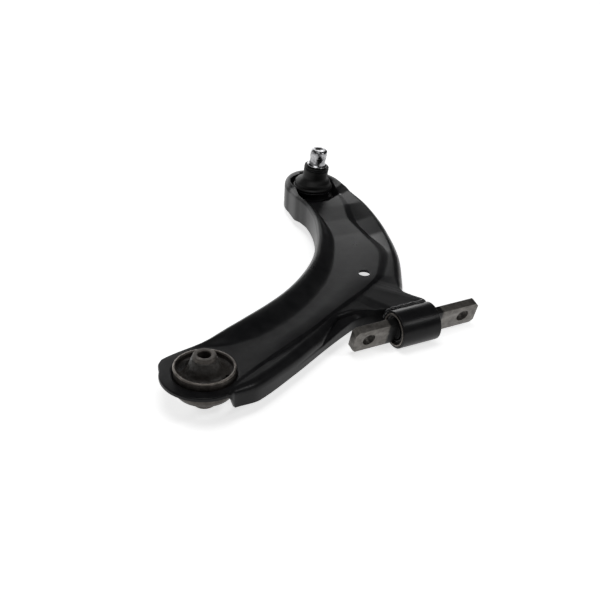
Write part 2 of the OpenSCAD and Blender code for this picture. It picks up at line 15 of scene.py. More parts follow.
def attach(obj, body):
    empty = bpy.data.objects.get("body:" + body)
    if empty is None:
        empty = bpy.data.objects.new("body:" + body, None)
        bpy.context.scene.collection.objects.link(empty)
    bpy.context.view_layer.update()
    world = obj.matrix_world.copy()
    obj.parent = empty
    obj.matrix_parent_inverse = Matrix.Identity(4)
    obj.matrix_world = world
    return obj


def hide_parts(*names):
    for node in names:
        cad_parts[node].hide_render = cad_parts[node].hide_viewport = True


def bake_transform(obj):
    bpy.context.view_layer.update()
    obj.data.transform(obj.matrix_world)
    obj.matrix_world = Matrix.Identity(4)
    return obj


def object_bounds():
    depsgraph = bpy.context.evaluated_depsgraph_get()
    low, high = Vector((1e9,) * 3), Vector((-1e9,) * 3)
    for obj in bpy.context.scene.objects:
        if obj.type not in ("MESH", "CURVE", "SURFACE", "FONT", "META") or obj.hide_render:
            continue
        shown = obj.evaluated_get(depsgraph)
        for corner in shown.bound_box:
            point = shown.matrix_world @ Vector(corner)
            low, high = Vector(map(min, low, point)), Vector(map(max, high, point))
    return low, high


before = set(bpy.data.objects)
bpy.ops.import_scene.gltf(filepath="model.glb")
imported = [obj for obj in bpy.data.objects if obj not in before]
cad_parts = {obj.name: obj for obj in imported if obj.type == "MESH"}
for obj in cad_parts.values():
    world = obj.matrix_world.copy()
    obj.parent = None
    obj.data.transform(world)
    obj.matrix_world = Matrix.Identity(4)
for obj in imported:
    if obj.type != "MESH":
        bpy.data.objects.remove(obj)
cad_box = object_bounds()

MM = 0.001

# ---- Driving sizes, in millimetres and degrees ---------------------------------------
# the pressed sheet
SHEET_T = 3.4
RIM_H, RIM_ROLL = 8, 5
BAND_DROP, BAND_ROLL = 3, 12
FLANGE, END_FLANGE = -26, -31
BALL_END_R, BALL_END_INNER, BALL_END_OUT, BALL_RIM_H = 43, 41.5, 49.5, 7.5
POCKET = -9
LEDGE, SCOOP, WIDE = 12, 3.5, 60
REAR_PLATE_R = 48
# the rear bush
REAR_R, REAR_WALL = 34.15, 2.6
REAR_TOP, REAR_LENGTH = 7.9, 31.3
INNER_R, INNER_BORE, INNER_TOP, INNER_LENGTH = 12.9, 7.2, 23, 63
# the front bush's tube, sleeve and rubber, and the bar
TUBE_X, TUBE_Y, TUBE_Z = 248.5, 11.4, -17.2
TUBE_R, TUBE_WALL, TUBE_LENGTH = 23.1, 3, 52
SLEEVE_WALL, SLEEVE_OUT, RUBBER_RECESS = 1.6, 0.8, 4
CORE_R, BAR_LENGTH, BAR_HEIGHT, BAR_THICK = 11.5, 171.5, 31.5, 10.5
BAR_CORNER, BAR_TURN, BAR_HOLE_R, BAR_SPACING, BAR_SHIFT = 4, 16, 8.2, 132, 2.8
# the ball joint, its stud and its boot
BALL = Vector((326.8, 358.9, -9))
BALL_R, HOUSING_R = 15, 25
NECK_R, STUD_R, STUD_TOP = 7.8, 11.6, 60.5
STUD_FLANGE, PINCH_DEPTH = 2.2, 0.7
LEAN_X, LEAN_Y = 3, 5
BOOT_TOP_R, BOOT_BASE_R, BOOT_TOP, BOOT_WALL = 17.2, 27.4, 36, 2
# the hole in the web: its place and radius
WEB_HOLE, WEB_HOLE_R = (269.5, 117.4), 7.6
# the plate's round end behind the rear bush
REAR_SHIFT, REAR_FOOT = 1.5, 7
# the round end at the ball joint, whose rim is higher behind and lower at the right
BALL_SHIFT, BALL_ROLL, BALL_RAMP, BALL_FOOT = 4.3, 8.5, 6, 3
BALL_RISE, BALL_DIP = 1.5, 2.2
# how far the sheet's end rises above the band to meet the tube
SEAT_RISE = 4.3
# mouths and depths of the drawn collars, and how far a cutter reaches past the sheet
REAR_MOUTH, REAR_LIP, BALL_MOUTH, BALL_LIP = 4, 10, 2, 11
CUT = 20
# where the coat reflects less, which paints shade into the pocket: round the ball, below a level,
# up to a place on its right
POCKET_SHADE_R, POCKET_SHADE_LEVEL, POCKET_SHADE_SIDE = 62, 1.6, 22


# ---- Mesh helpers --------------------------------------------------------------------
def finish_mesh(bm, name, sharp=32):
    """Turns a bmesh in millimetres into an object in metres, smooth but for sharp edges."""
    bmesh.ops.remove_doubles(bm, verts=bm.verts, dist=0.002)
    bmesh.ops.recalc_face_normals(bm, faces=bm.faces)
    bmesh.ops.scale(bm, vec=(MM, MM, MM), verts=bm.verts)
    limit = math.radians(sharp)
    for face in bm.faces:
        face.smooth = True
    for edge in bm.edges:
        edge.smooth = not (edge.is_manifold and edge.calc_face_angle(0) > limit)
    mesh = bpy.data.meshes.new(name)
    bm.to_mesh(mesh)
    bm.free()
    obj = bpy.data.objects.new(name, mesh)
    bpy.context.collection.objects.link(obj)
    return obj


def resharpen(obj, sharp=32):
    """Marks sharp edges again after a modifier has changed the mesh."""
    bm = bmesh.new()
    bm.from_mesh(obj.data)
    limit = math.radians(sharp)
    for face in bm.faces:
        face.smooth = True
    for edge in bm.edges:
        edge.smooth = not (edge.is_manifold and edge.calc_face_angle(0) > limit)
    bm.to_mesh(obj.data)
    bm.free()


def rounded(points, radius, steps=5):
    """A closed 2D outline with each corner turned into an arc; radius is one number or a list."""
    out = []
    n = len(points)
    for i in range(n):
        r = radius[i] if isinstance(radius, (list, tuple)) else radius
        a, b, c = (Vector(points[(i + k) % n]) for k in (-1, 0, 1))
        u, v = (a - b), (c - b)
        if r <= 0 or u.length < 1e-6 or v.length < 1e-6:
            out.append(tuple(b))
            continue
        reach = min(r, u.length * 0.45, v.length * 0.45)
        p, q = b + u.normalized() * reach, b + v.normalized() * reach
        for s in range(steps + 1):
            t = s / steps
            w = (1 - t) ** 2 * p + 2 * t * (1 - t) * b + t * t * q
            out.append((w.x, w.y))
    return out


def revolve(name, profile, segments=128, place=Matrix(), sharp=32):
    """A closed (radius, height) outline turned round Z and then placed."""
    bm = bmesh.new()
    rings = []
    for s in range(segments):
        a = 2 * math.pi * s / segments
        rings.append([bm.verts.new(place @ Vector((r * math.cos(a), r * math.sin(a), z)))
                      for r, z in profile])
    n = len(profile)
    for s in range(segments):
        here, there = rings[s], rings[(s + 1) % segments]
        for i in range(n):
            j = (i + 1) % n
            quad = [here[i], there[i], there[j], here[j]]
            if profile[i][0] < 1e-6:
                quad = [here[i], there[j], here[j]]
            elif profile[j][0] < 1e-6:
                quad = [here[i], there[i], here[j]]
            if profile[i][0] < 1e-6 and profile[j][0] < 1e-6:
                continue
            bm.faces.new(quad)
    return finish_mesh(bm, name, sharp)


def extrude(name, outline, low, high, place=Matrix()):
    """A closed 2D outline stood up between two levels."""
    bm = bmesh.new()
    rings = [[bm.verts.new(place @ Vector((x, y, z))) for x, y in outline] for z in (low, high)]
    bm.faces.new(rings[0])
    bm.faces.new(rings[1])
    n = len(outline)
    for i in range(n):
        j = (i + 1) % n
        bm.faces.new((rings[0][i], rings[0][j], rings[1][j], rings[1][i]))
    return finish_mesh(bm, name)


def cylinder(name, r, low, high, place=Matrix(), segments=128):
    """A plain round bar between two levels."""
    return revolve(name, [(0, low), (r, low), (r, high), (0, high)], segments, place)


def combine(target, other, operation="DIFFERENCE"):
    """Applies a boolean with another object, which is then removed."""
    modifier = target.modifiers.new("cut", "BOOLEAN")
    modifier.operation = operation
    modifier.solver = "EXACT"
    modifier.object = other
    apply_modifiers(target)
    bpy.data.objects.remove(other)


def apply_modifiers(obj):
    """Puts the result of an object's modifiers into its mesh."""
    graph = bpy.context.evaluated_depsgraph_get()
    mesh = bpy.data.meshes.new_from_object(obj.evaluated_get(graph))
    obj.modifiers.clear()
    old = obj.data
    obj.data = mesh
    bpy.data.meshes.remove(old)


def soften(obj, width):
    """Rounds the edges of a machined or sheared piece."""
    modifier = obj.modifiers.new("edge", "BEVEL")
    modifier.width = width * MM
    modifier.segments = 3
    modifier.limit_method = "ANGLE"
    modifier.angle_limit = math.radians(30)
    apply_modifiers(obj)
    resharpen(obj, 40)


def join(obj, *others):
    """Puts the meshes of several objects into the first one."""
    bm = bmesh.new()
    for o in (obj, *others):
        bm.from_mesh(o.data)
    bm.to_mesh(obj.data)
    bm.free()
    for o in others:
        bpy.data.objects.remove(o)


# ---- The pressed sheet ---------------------------------------------------------------
# The sheet is one skin, outer and inner side, over a closed edge line. A row holds: edge x, y;
# foot of the rim or crease of the band x, y; spine index; level of the edge; roll radius;
# bottom of the flange; width of the ramp down to the foot (WIDE = all that fits); depth of
# the flange's step inwards; and drop of the sheet between the roll and the ramp.
SPINE = [(0, 0, 0), (50, 14, 0), (98, 26, 0), (145, 47, 0), (190, 76, 0), (234, 108, 0),
         (266, 141, 0), (287, 176, 0), (299, 217, 0), (308, 257, 0.8), (317, 293, 2.4),
         (326, 309, 3), (329, 318, POCKET), (BALL.x, BALL.y, POCKET)]
BAND = -BAND_DROP
SHEET_EDGE = -(SHEET_T + 0.9)
SEAT_LOW = BAND - SHEET_T - 1
TUBE_TOP_Y = TUBE_Y + TUBE_R * 0.6


def rear_arc():
    """Rows of the plate's round end, from 150 to 270 degrees round the rear bush."""
    foot = REAR_PLATE_R - REAR_FOOT
    return [(REAR_PLATE_R * math.cos(a) - REAR_SHIFT, REAR_PLATE_R * math.sin(a),
             foot * math.cos(a), foot * math.sin(a), 0, 0, 1.5, SHEET_EDGE, 2, 0, 0)
            for a in (math.radians(150 + 12 * i) for i in range(11))]


def ball_arc():
    """Rows of the round end, from 0 to 180 degrees round the ball; its rim dips at the right."""
    rows, foot = [], HOUSING_R + BALL_FOOT
    for a in (math.radians(12 * i) for i in range(16)):
        side = BALL_END_INNER if math.cos(a) < 0 else BALL_END_R
        level = BALL_RIM_H + BALL_RISE * math.sin(a) - BALL_DIP * max(math.cos(a), 0)
        rows.append((BALL.x + BALL_SHIFT + side * math.cos(a),
                     BALL.y + BALL_END_OUT * math.sin(a),
                     BALL.x + foot * math.cos(a), BALL.y + foot * math.sin(a),
                     13, level, BALL_ROLL, END_FLANGE, BALL_RAMP, 0, 0))
    return rows


RIGHT_SIDE = [
    (6, -REAR_PLATE_R + 0.5, 4, -40, 0, 0, 1.5, SHEET_EDGE, 2, 0, 0),
    (10.5, -46.8, 8, -38, 0, -0.2, 4, -9, 4, 0, 0),
    (16, -44, 13, -35, 0, -0.5, 7, FLANGE + 3.5, 4, 0, 0),
    (47, -38.9, 46, -16, 1, -1, 11, FLANGE, 6, 0, 0),
    (106, -11, 99, 9, 2, BAND, BAND_ROLL, FLANGE, 2.6, 0, 0.3),
    (154.5, 15, 148, 31.5, 3, BAND, BAND_ROLL, FLANGE, 2.6, LEDGE * 0.08, 0.3),
    (176, 26, 169, 43, 4, BAND, 8, FLANGE, 2.6, LEDGE * 0.55, 0.3),
    (194.5, 35, 189, 54, 4, BAND, 5, FLANGE, 2.8, LEDGE, 0),
    (213.5, 43, 208, 64.5, 4, BAND, 4, FLANGE, 5, LEDGE * 0.5, 0),
    (228, 44, 219, 70, 4, BAND, 3, FLANGE, 5, LEDGE * 0.12, 0),
    (239, 39, 227, 73.5, 4, BAND, 3, FLANGE, 5, 0, 0),
    (249, 33, 235, 77.5, 5, BAND + 2, 3, FLANGE + 8, 3.4, 0, 2),
    (258, TUBE_TOP_Y, 241, 80.5, 5, BAND + SEAT_RISE, 2, SEAT_LOW, 3.4, 0, SEAT_RISE),
    (280, TUBE_TOP_Y, 250, 85.5, 5, BAND + SEAT_RISE, 1.5, SEAT_LOW, 3.4, 0, SEAT_RISE),
    (300.5, TUBE_TOP_Y, 258, 90, 5, BAND + SEAT_RISE, 1.5, SEAT_LOW, 3.4, 0, SEAT_RISE),
    (303, 32, 263, 93.5, 5, BAND + 3.4, 1.5, SEAT_LOW, 3.8, 0, 3.4),
    (297, 46, 268, 97, 5, BAND + 2.2, 1.5, SEAT_LOW, 4, 0, 2.4),
    (292.5, 60, 272, 100, 5, BAND + 1.3, 3, SEAT_LOW - 1, 6, 0, 1.5),
    (297, 70, 276, 104, 5, BAND + 0.9, 8, FLANGE + 4, 7, 0, 0.9),
    (308.5, 88, 283, 111, 6, BAND + 1.4, BAND_ROLL, FLANGE, 11, 0, 0.2),
    (341, 147.5, 313.5, 160.5, 7, BAND + 1.7, BAND_ROLL, FLANGE, 16, 0, 0.2),
    (363, 208, 321, 214, 8, BAND, BAND_ROLL, FLANGE, 14, 0, SCOOP),
    (373, 252, 324, 254, 9, BAND + 1.6, BAND_ROLL, FLANGE, 14, 0, SCOOP),
    (377, 294, 336, 291, 10, BAND + 4, BAND_ROLL - 1, FLANGE, 14, 0, 0),
    (375.5, 333, 343, 318, 11, BAND + 4.7, BAND_ROLL - 3, FLANGE - 2, 14, 0, 0),
    (375.5, 344, 345, 326, 12, 3, 8, FLANGE - 2, 12, 0, 0),
    (374, 352, 348, 334, 12, BALL_RIM_H - 3, 8, END_FLANGE, 9, 0, 0)]
LEFT_SIDE = [
    (286, 334, 296.5, 328, 12, RIM_H - 0.5, 4.5, END_FLANGE, WIDE, 0, 0),
    (286, 318, 297, 311, 11, RIM_H, 4, END_FLANGE + 3.5, WIDE, 0, 0),
    (285, 296, 296, 291, 10, RIM_H, 4, FLANGE, WIDE, 0, 0),
    (277, 263, 292, 257, 9, RIM_H, 4.5, FLANGE, WIDE, 0, 0),
    (261.5, 228, 283, 218, 8, RIM_H, RIM_ROLL, FLANGE, WIDE, 0, 0),
    (245.5, 200.5, 266, 184, 7, RIM_H, RIM_ROLL, FLANGE, WIDE, 0, 0),
    (222, 167.5, 242, 147, 6, RIM_H, RIM_ROLL, FLANGE, WIDE, 0, 0),
    (191, 137, 213, 113.5, 5, RIM_H, RIM_ROLL, FLANGE, WIDE, 0, 0),
    (157.5, 112, 178, 84, 4, RIM_H, RIM_ROLL, FLANGE, WIDE, 0, 0),
    (124.5, 93.5, 137, 58, 3, RIM_H, RIM_ROLL, FLANGE, WIDE, 0, 0),
    (83.5, 75.5, 92, 40, 2, RIM_H - 0.3, RIM_ROLL, FLANGE, WIDE, 0, 0),
    (56, 65, 66, 36.5, 1, RIM_H - 1.3, RIM_ROLL, FLANGE, WIDE, 0, 0),
    (41.5, 60, 50, 35, 1, RIM_H - 2.8, RIM_ROLL, FLANGE, WIDE, 0, 0),
    (30, 57, 37, 38, 0, 3.2, RIM_ROLL, FLANGE + 5, WIDE, 0, 0),
    (20, 54.5, 25, 41, 0, 1.2, 3, -12, WIDE, 0, 0),
    (8, 52, 9, 43, 0, 0.1, 1.5, SHEET_EDGE, 6, 0, 0),
    (-14, 47.8, -12, 39, 0, 0, 1.5, SHEET_EDGE, 2, 0, 0),
    (-31.5, 42.8, -26.5, 34, 0, 0, 1.5, SHEET_EDGE, 2, 0, 0),
    (-36, 39, -30, 31, 0, 0, 1.5, SHEET_EDGE, 2, 0, 0),
    (-39.8, 34, -34, 26, 0, 0, 1.5, SHEET_EDGE, 2, 0, 0)]

LINE_CUTS, SPINE_CUTS = 6, 12
ROLL_STEPS, RAMP_STEPS, LEDGE_STEPS = 10, 14, 16
LEDGE_FOOT, LEDGE_SPAN = 0.66, 0.24
LEAST_ROLL = 0.4


def hermite(p0, p1, p2, p3, t):
    """A point between p1 and p2 on a smooth curve that also heeds their neighbours."""
    a, b, c = (max(np.linalg.norm(v), 0.01) for v in (p1 - p0, p2 - p1, p3 - p2))
    m1, m2 = (p2 - p0) / (a + b) * b, (p3 - p1) / (b + c) * b
    return ((2 * t**3 - 3 * t**2 + 1) * p1 + (t**3 - 2 * t**2 + t) * m1
            + (3 * t**2 - 2 * t**3) * p2 + (t**3 - t**2) * m2)


def edge_loop():
    """The rows, with more in between; finer where the spine moves on to its next point."""
    rows = np.array(rear_arc() + RIGHT_SIDE + ball_arc() + LEFT_SIDE, float)
    n = len(rows)
    out = []
    for i in range(n):
        r = [rows[(i + k) % n] for k in (-1, 0, 1, 2)]
        cuts = SPINE_CUTS if r[1][4] != r[2][4] else LINE_CUTS
        for s in range(cuts):
            t = s / cuts
            edge = hermite(*(p[0:2] for p in r), t)
            foot = hermite(*(p[2:4] for p in r), t)
            out.append(np.concatenate([edge, foot, r[1][4:] + (r[2][4:] - r[1][4:]) * t]))
    return out


def spine_at(u):
    """The point of the web's middle line at a spine index that needn't be whole."""
    k = min(int(u + 1e-4), len(SPINE) - 2)
    a, b = np.array(SPINE[k], float), np.array(SPINE[k + 1], float)
    return a + (b - a) * (u - k)


def smooth_step(t):
    """Eases from 0 to 1."""
    return t * t * (3 - 2 * t)


def ledge_height(x):
    """How far in the flange has stepped at a share of its height."""
    t = (x - LEDGE_FOOT) / LEDGE_SPAN
    return smooth_step(min(max(t, 0), 1))


def skin_line(p, inner):
    """One line of the skin, from the flange's bottom over the roll and ramp to the foot."""
    edge, foot = p[0:2], p[2:4]
    spine, level, r0, flange, width, ledge, drop = p[4:]
    reach = np.linalg.norm(foot - edge)
    d = (foot - edge) / reach
    ri = max(r0 - SHEET_T, LEAST_ROLL)
    r, off = (ri, SHEET_T) if inner else (r0, 0)
    bottom = min(flange, level - SHEET_T - ri - 0.2)
    under = off * min(ledge / 6, 0.9)
    roll_low = level - off - r
    start = max(r0, off + ri) + ledge
    ramp = min(width, reach - start - 0.3)
    low = level - drop
    base = spine_at(spine)[2]
    line = [(*(edge + d * off), bottom)]
    for k in range(1, LEDGE_STEPS):
        t = k / LEDGE_STEPS
        z = bottom + (roll_low - bottom) * t - under * ledge_height(t)
        spot = edge + d * (off + ledge * ledge_height(t))
        line.append((*spot, max(z, bottom + 0.1 * t)))
    for k in range(ROLL_STEPS + 1):
        a = math.pi / 2 * k / ROLL_STEPS
        spot = edge + d * (off + ledge + r * (1 - math.cos(a)))
        line.append((*spot, level - off - r * (1 - math.sin(a))))
    for k in range(RAMP_STEPS + 1):
        t = k / RAMP_STEPS
        spot = edge + d * (reach - ramp + ramp * t)
        line.append((*spot, low + (base - low) * smooth_step(t) - off))
    return line


def pressed_skin():
    """The whole sheet: both sides, from the edge line to the spine, and the flange's bottom."""
    loop = edge_loop()
    n = len(loop)
    bm = bmesh.new()
    spine_verts = {}

    def spine_vert(u, side):
        """One shared point of the spine for each of its places and sides."""
        key = (round(u * SPINE_CUTS), side)
        if key not in spine_verts:
            x, y, z = spine_at(u)
            spine_verts[key] = bm.verts.new((x, y, z - (SHEET_T if side else 0)))
        return spine_verts[key]

    sides = [[[bm.verts.new(v) for v in skin_line(p, side)] for p in loop] for side in (0, 1)]
    for side in (0, 1):
        for i in range(n):
            j = (i + 1) % n
            a, b = sides[side][i], sides[side][j]
            for k in range(len(a) - 1):
                bm.faces.new((a[k], b[k], b[k + 1], a[k + 1]))
            s0, s1 = spine_vert(loop[i][4], side), spine_vert(loop[j][4], side)
            if s0 is s1:
                bm.faces.new((a[-1], b[-1], s0))
            else:
                bm.faces.new((a[-1], b[-1], s1, s0))
    for i in range(n):
        j = (i + 1) % n
        bm.faces.new((sides[0][i][0], sides[0][j][0], sides[1][j][0], sides[1][i][0]))
    return finish_mesh(bm, "pressed_arm")


def quarter_lip(r, wall, top, low, roll):
    """The outline of a collar drawn down from the sheet, with a rolled mouth."""
    arc = [(r + roll - roll * math.sin(a), top - roll + roll * math.cos(a))
           for a in (math.pi / 2 * k / 10 for k in range(11))]
    return arc + [(r, low), (r + wall, low), (r + wall, top - SHEET_T - 1),
                  (r + roll, top - SHEET_T)]


def build_arm():
    """The sheet with its bores, the web hole and the room for the tube, and its two collars."""
    arm = pressed_skin()
    at_ball = Matrix.Translation((BALL.x, BALL.y, 0))
    at_hole = Matrix.Translation((*WEB_HOLE, 0))
    combine(arm, cylinder("cut_rear", REAR_R + REAR_MOUTH, -CUT, CUT, segments=160))
    combine(arm, cylinder("cut_ball", HOUSING_R + BALL_MOUTH, -CUT, CUT, at_ball))
    combine(arm, cylinder("cut_web", WEB_HOLE_R, -CUT, CUT, at_hole, 64))
    combine(arm, cylinder("cut_tube", TUBE_R, 0, TUBE_LENGTH + CUT, along_x(TUBE_X)))
    rear_lip = revolve("lip_rear", quarter_lip(REAR_R, SHEET_T, 0, -REAR_LIP, REAR_MOUTH), 160)
    ball_lip = revolve("lip_ball", quarter_lip(HOUSING_R, SHEET_T, POCKET, POCKET - BALL_LIP,
                                               BALL_MOUTH), 128, at_ball)
    resharpen(arm)
    join(arm, rear_lip, ball_lip)
    return arm


# ---- Bushes, tube and bar ------------------------------------------------------------
def along_x(x):
    """Stands pieces on the front bush's axis, from a place along it."""
    return Matrix.Translation((x, TUBE_Y, TUBE_Z)) @ Matrix.Rotation(math.pi / 2, 4, "Y")


def ring(name, r_out, r_in, low, high, place, edge):
    """A tube with rounded edges."""
    return revolve(name, rounded([(r_in, low), (r_out, low), (r_out, high), (r_in, high)], edge),
                   place=place, sharp=50)


def build_front_bush():
    """The welded tube, the bush's outer sleeve in it, and the rubber with a bead at each end."""
    tube_in = TUBE_R - TUBE_WALL
    sleeve_in = tube_in - SLEEVE_WALL
    x0, x1 = -SLEEVE_OUT, TUBE_LENGTH + SLEEVE_OUT
    place = along_x(TUBE_X)
    tube = ring("bush_tube", TUBE_R, tube_in, 0, TUBE_LENGTH, place, 0.7)
    sleeve = ring("front_sleeve", tube_in, sleeve_in, x0, x1, place, 0.4)
    lo, hi = x0 + RUBBER_RECESS, x1 - RUBBER_RECESS
    bead = 2.2
    outline = rounded([(CORE_R, lo + 1), (CORE_R + 2.5, lo - bead), (CORE_R + 5, lo + 0.6),
                       (sleeve_in - 1.5, lo + 0.4), (sleeve_in, lo - 1),
                       (sleeve_in, hi + 1), (sleeve_in - 1.5, hi - 0.4),
                       (CORE_R + 5, hi - 0.6), (CORE_R + 2.5, hi + bead), (CORE_R, hi - 1)], 1.2)
    rubber = revolve("front_rubber", outline, place=place, sharp=60)
    return tube, sleeve, rubber


def weld_line(path, radius, seed):
    """A rippled bead of weld laid along a line of points."""
    bm = bmesh.new()
    rings, sides, run = [], 14, 0.0
    ripple, swell, drift = 1.15, 0.43, 0.31
    for k, p in enumerate(path):
        a, b = path[max(k - 1, 0)], path[min(k + 1, len(path) - 1)]
        run += (p - path[k - 1]).length if k else 0
        along = (b - a).normalized()
        u = along.orthogonal().normalized()
        v = along.cross(u)
        end = min(1, (0.25 + min(k, len(path) - 1 - k)) / 3) ** 0.5
        pulse = abs(math.sin(run * ripple + seed))
        r = radius * end * (0.86 + 0.2 * pulse + 0.1 * math.sin(run * swell + 2 * seed))
        sway = v * 0.5 * math.sin(run * drift + seed)
        rings.append([bm.verts.new(p + sway + (u * math.cos(t) + v * math.sin(t)) * r)
                      for t in (2 * math.pi * i / sides for i in range(sides))])
    for here, there in zip(rings, rings[1:]):
        for i in range(sides):
            j = (i + 1) % sides
            bm.faces.new((here[i], here[j], there[j], there[i]))
    bm.faces.new(rings[0])
    bm.faces.new(rings[-1])
    return finish_mesh(bm, "weld", 70)


def build_welds():
    """The bead along the sheet's end on the tube, and those round the ends of that seam."""
    def on_tube(x, degrees, off):
        """A point off the tube's skin, at degrees from its side towards its top."""
        a, r = math.radians(degrees), TUBE_R + off
        return Vector((x, TUBE_Y + r * math.cos(a), TUBE_Z + r * math.sin(a)))

    seam_x, near_x, far_x, seam_angle = 251, 249.6, 299.2, 51
    step, turn = 0.6, 1.5
    seam = [on_tube(seam_x + step * k, seam_angle + 1.2 * math.sin(k * 0.21), 0.6)
            for k in range(79)]
    near = [on_tube(near_x - 0.4 * math.sin(k * 0.5), seam_angle + 7 - turn * k, 0.8)
            for k in range(48)]
    far = [on_tube(far_x, seam_angle + 3 - turn * k, 0.6) for k in range(28)]
    weld = weld_line(seam, 3, 0.4)
    join(weld, weld_line(near, 2.3, 1.7), weld_line(far, 1.9, 2.6))
    return weld


def build_bar():
    """The bar pin: a round core in the rubber and two flattened ends with a hole each."""
    mid = BAR_LENGTH / 2
    x0 = TUBE_X + TUBE_LENGTH / 2 - mid + BAR_SHIFT
    place = (Matrix.Translation((x0, TUBE_Y, TUBE_Z))
             @ Matrix.Rotation(math.radians(BAR_TURN), 4, "X")
             @ Matrix.Rotation(math.pi / 2, 4, "X"))
    h, c = BAR_HEIGHT / 2, BAR_CORNER
    outline = [(0, -h + c), (c, -h), (BAR_LENGTH - c, -h), (BAR_LENGTH, -h + c),
               (BAR_LENGTH, h - c), (BAR_LENGTH - c, h), (c, h), (0, h - c)]
    rubber_x = TUBE_X - SLEEVE_OUT + RUBBER_RECESS - x0
    rubber_l = TUBE_LENGTH + 2 * SLEEVE_OUT - 2 * RUBBER_RECESS
    bar = extrude("bar_pin", outline, -BAR_THICK / 2, BAR_THICK / 2, place)
    g0, g1, g = rubber_x - 0.3, rubber_x + rubber_l + 0.3, h + 5
    combine(bar, extrude("gap", [(g0, -g), (g1, -g), (g1, g), (g0, g)],
                         -BAR_THICK, BAR_THICK, place))
    turn = place @ Matrix.Translation((rubber_x - 2, 0, 0)) @ Matrix.Rotation(math.pi / 2, 4, "Y")
    combine(bar, cylinder("core", CORE_R, 0, rubber_l + 4, turn, 96), "UNION")
    for s in (-1, 1):
        at = place @ Matrix.Translation((mid + s * BAR_SPACING / 2, 0, 0))
        combine(bar, cylinder("hole", BAR_HOLE_R, -BAR_THICK, BAR_THICK, at, 64))
    soften(bar, 0.7)
    return bar


def arc_points(r, a0, a1, steps=24):
    """Points on a circle from one angle to another."""
    return [(r * math.cos(a), r * math.sin(a))
            for a in (a0 + (a1 - a0) * k / steps for k in range(steps + 1))]


def void_outline(outer, width, a0, a1):
    """A kidney-shaped void round the axis, with round ends."""
    inner = outer - width
    mid = (outer + inner) / 2

    def cap(a, turn):
        """The half circle that ends the void."""
        return [(mid * math.cos(a) + width / 2 * math.cos(a + turn + math.pi * k / 8),
                 mid * math.sin(a) + width / 2 * math.sin(a + turn + math.pi * k / 8))
                for k in range(1, 8)]

    return (arc_points(outer, a0, a1) + cap(a1, 0) + arc_points(inner, a1, a0)
            + cap(a0, math.pi))


def build_rear_bush():
    """The outer sleeve, the bead rolled on its rim, the inner sleeve and the rubber."""
    top, low = REAR_TOP, REAR_TOP - REAR_LENGTH
    r_in = REAR_R - REAR_WALL
    lead, pull = 5, 2.6
    sleeve = revolve("rear_sleeve", rounded(
        [(r_in, top), (REAR_R, top), (REAR_R, low + lead), (REAR_R - pull, low),
         (r_in - pull, low), (r_in, low + lead)], [0.5, 0.9, 1.5, 0.6, 0.6, 1.5]), 160, sharp=50)
    bead_r, bead_wide, bead_high = REAR_R - REAR_WALL / 2, 1.55, 1.3
    bead = revolve("rear_bead", [(bead_r + bead_wide * math.cos(a),
                                  top - 1.1 + bead_high * math.sin(a))
                                 for a in (2 * math.pi * k / 20 for k in range(20))],
                   160, sharp=60)
    z1, z0, c = INNER_TOP, INNER_TOP - INNER_LENGTH, 0.8
    inner = revolve("rear_inner_sleeve", rounded(
        [(INNER_BORE + c, z1), (INNER_R - c, z1), (INNER_R, z1 - c), (INNER_R, z0 + c),
         (INNER_R - c, z0), (INNER_BORE + c, z0), (INNER_BORE, z0 + c), (INNER_BORE, z1 - c)],
        0.3), sharp=50)
    mid_r = (INNER_R + r_in) / 2
    lo = low + 5.5
    rubber = revolve("rear_rubber", rounded(
        [(INNER_R, z1 - 4.5), (INNER_R + 1.8, z1 - 5.5), (mid_r - 2, 2), (mid_r + 2, -1),
         (r_in - 2.5, -1.5), (r_in, 1), (r_in, lo), (mid_r + 2, lo - 1), (mid_r - 2, lo - 3),
         (INNER_R + 1.8, z0 + 10), (INNER_R, z0 + 9)], [0.4, 1, 4, 4, 2, 0, 0, 3, 3, 1, 0.4]),
        160, sharp=60)
    skin, void_w, void_angle = 1.6, 6.5, 84
    for centre in (100, 280):
        a0, a1 = math.radians(centre - void_angle / 2), math.radians(centre + void_angle / 2)
        combine(rubber, extrude("void", void_outline(r_in - skin, void_w, a0, a1), -50, 30))
    resharpen(rubber, 45)
    return sleeve, bead, inner, rubber


# ---- Ball joint ----------------------------------------------------------------------
def stud_place():
    """Stands pieces on the stud's own axis, which leans about the ball's centre."""
    return (Matrix.Translation(BALL) @ Matrix.Rotation(math.radians(LEAN_X), 4, "X")
            @ Matrix.Rotation(math.radians(LEAN_Y), 4, "Y")
            @ Matrix.Translation((0, 0, -BALL.z)))


def build_stud():
    """The ball, its neck, the collar over the boot, and the pin with its pinch groove."""
    collar = BOOT_TOP + 1
    groove_mid, groove_half, depth = STUD_TOP - 15.5, 5, PINCH_DEPTH
    ball = [(BALL_R * math.sin(a), BALL.z - BALL_R * math.cos(a))
            for a in (math.pi * k / 30 for k in range(25))]
    neck = [(NECK_R, BALL.z + BALL_R), (NECK_R, BALL.z + 18), (STUD_R, BOOT_TOP - 9)]
    upper = rounded([(STUD_R, BOOT_TOP - 9), (STUD_R, collar - 0.6),
                     (STUD_R + STUD_FLANGE, collar), (STUD_R + STUD_FLANGE, collar + 1.2),
                     (STUD_R, collar + 3)], 0.4)
    groove = [(STUD_R - depth * (1 - t * t), groove_mid + groove_half * t)
              for t in (-1 + k / 8 for k in range(17))]
    tip = [(STUD_R, STUD_TOP - 2.4), (STUD_R - 0.5, STUD_TOP - 1), (STUD_R - 1.8, STUD_TOP - 0.2),
           (STUD_R - 3, STUD_TOP), (2.4, STUD_TOP), (1.8, STUD_TOP - 0.5), (0, STUD_TOP - 1.6)]
    profile = [(0, BALL.z - BALL_R)] + ball[1:] + neck + upper[2:] + groove + tip
    return revolve("stud", profile, place=stud_place(), sharp=40)


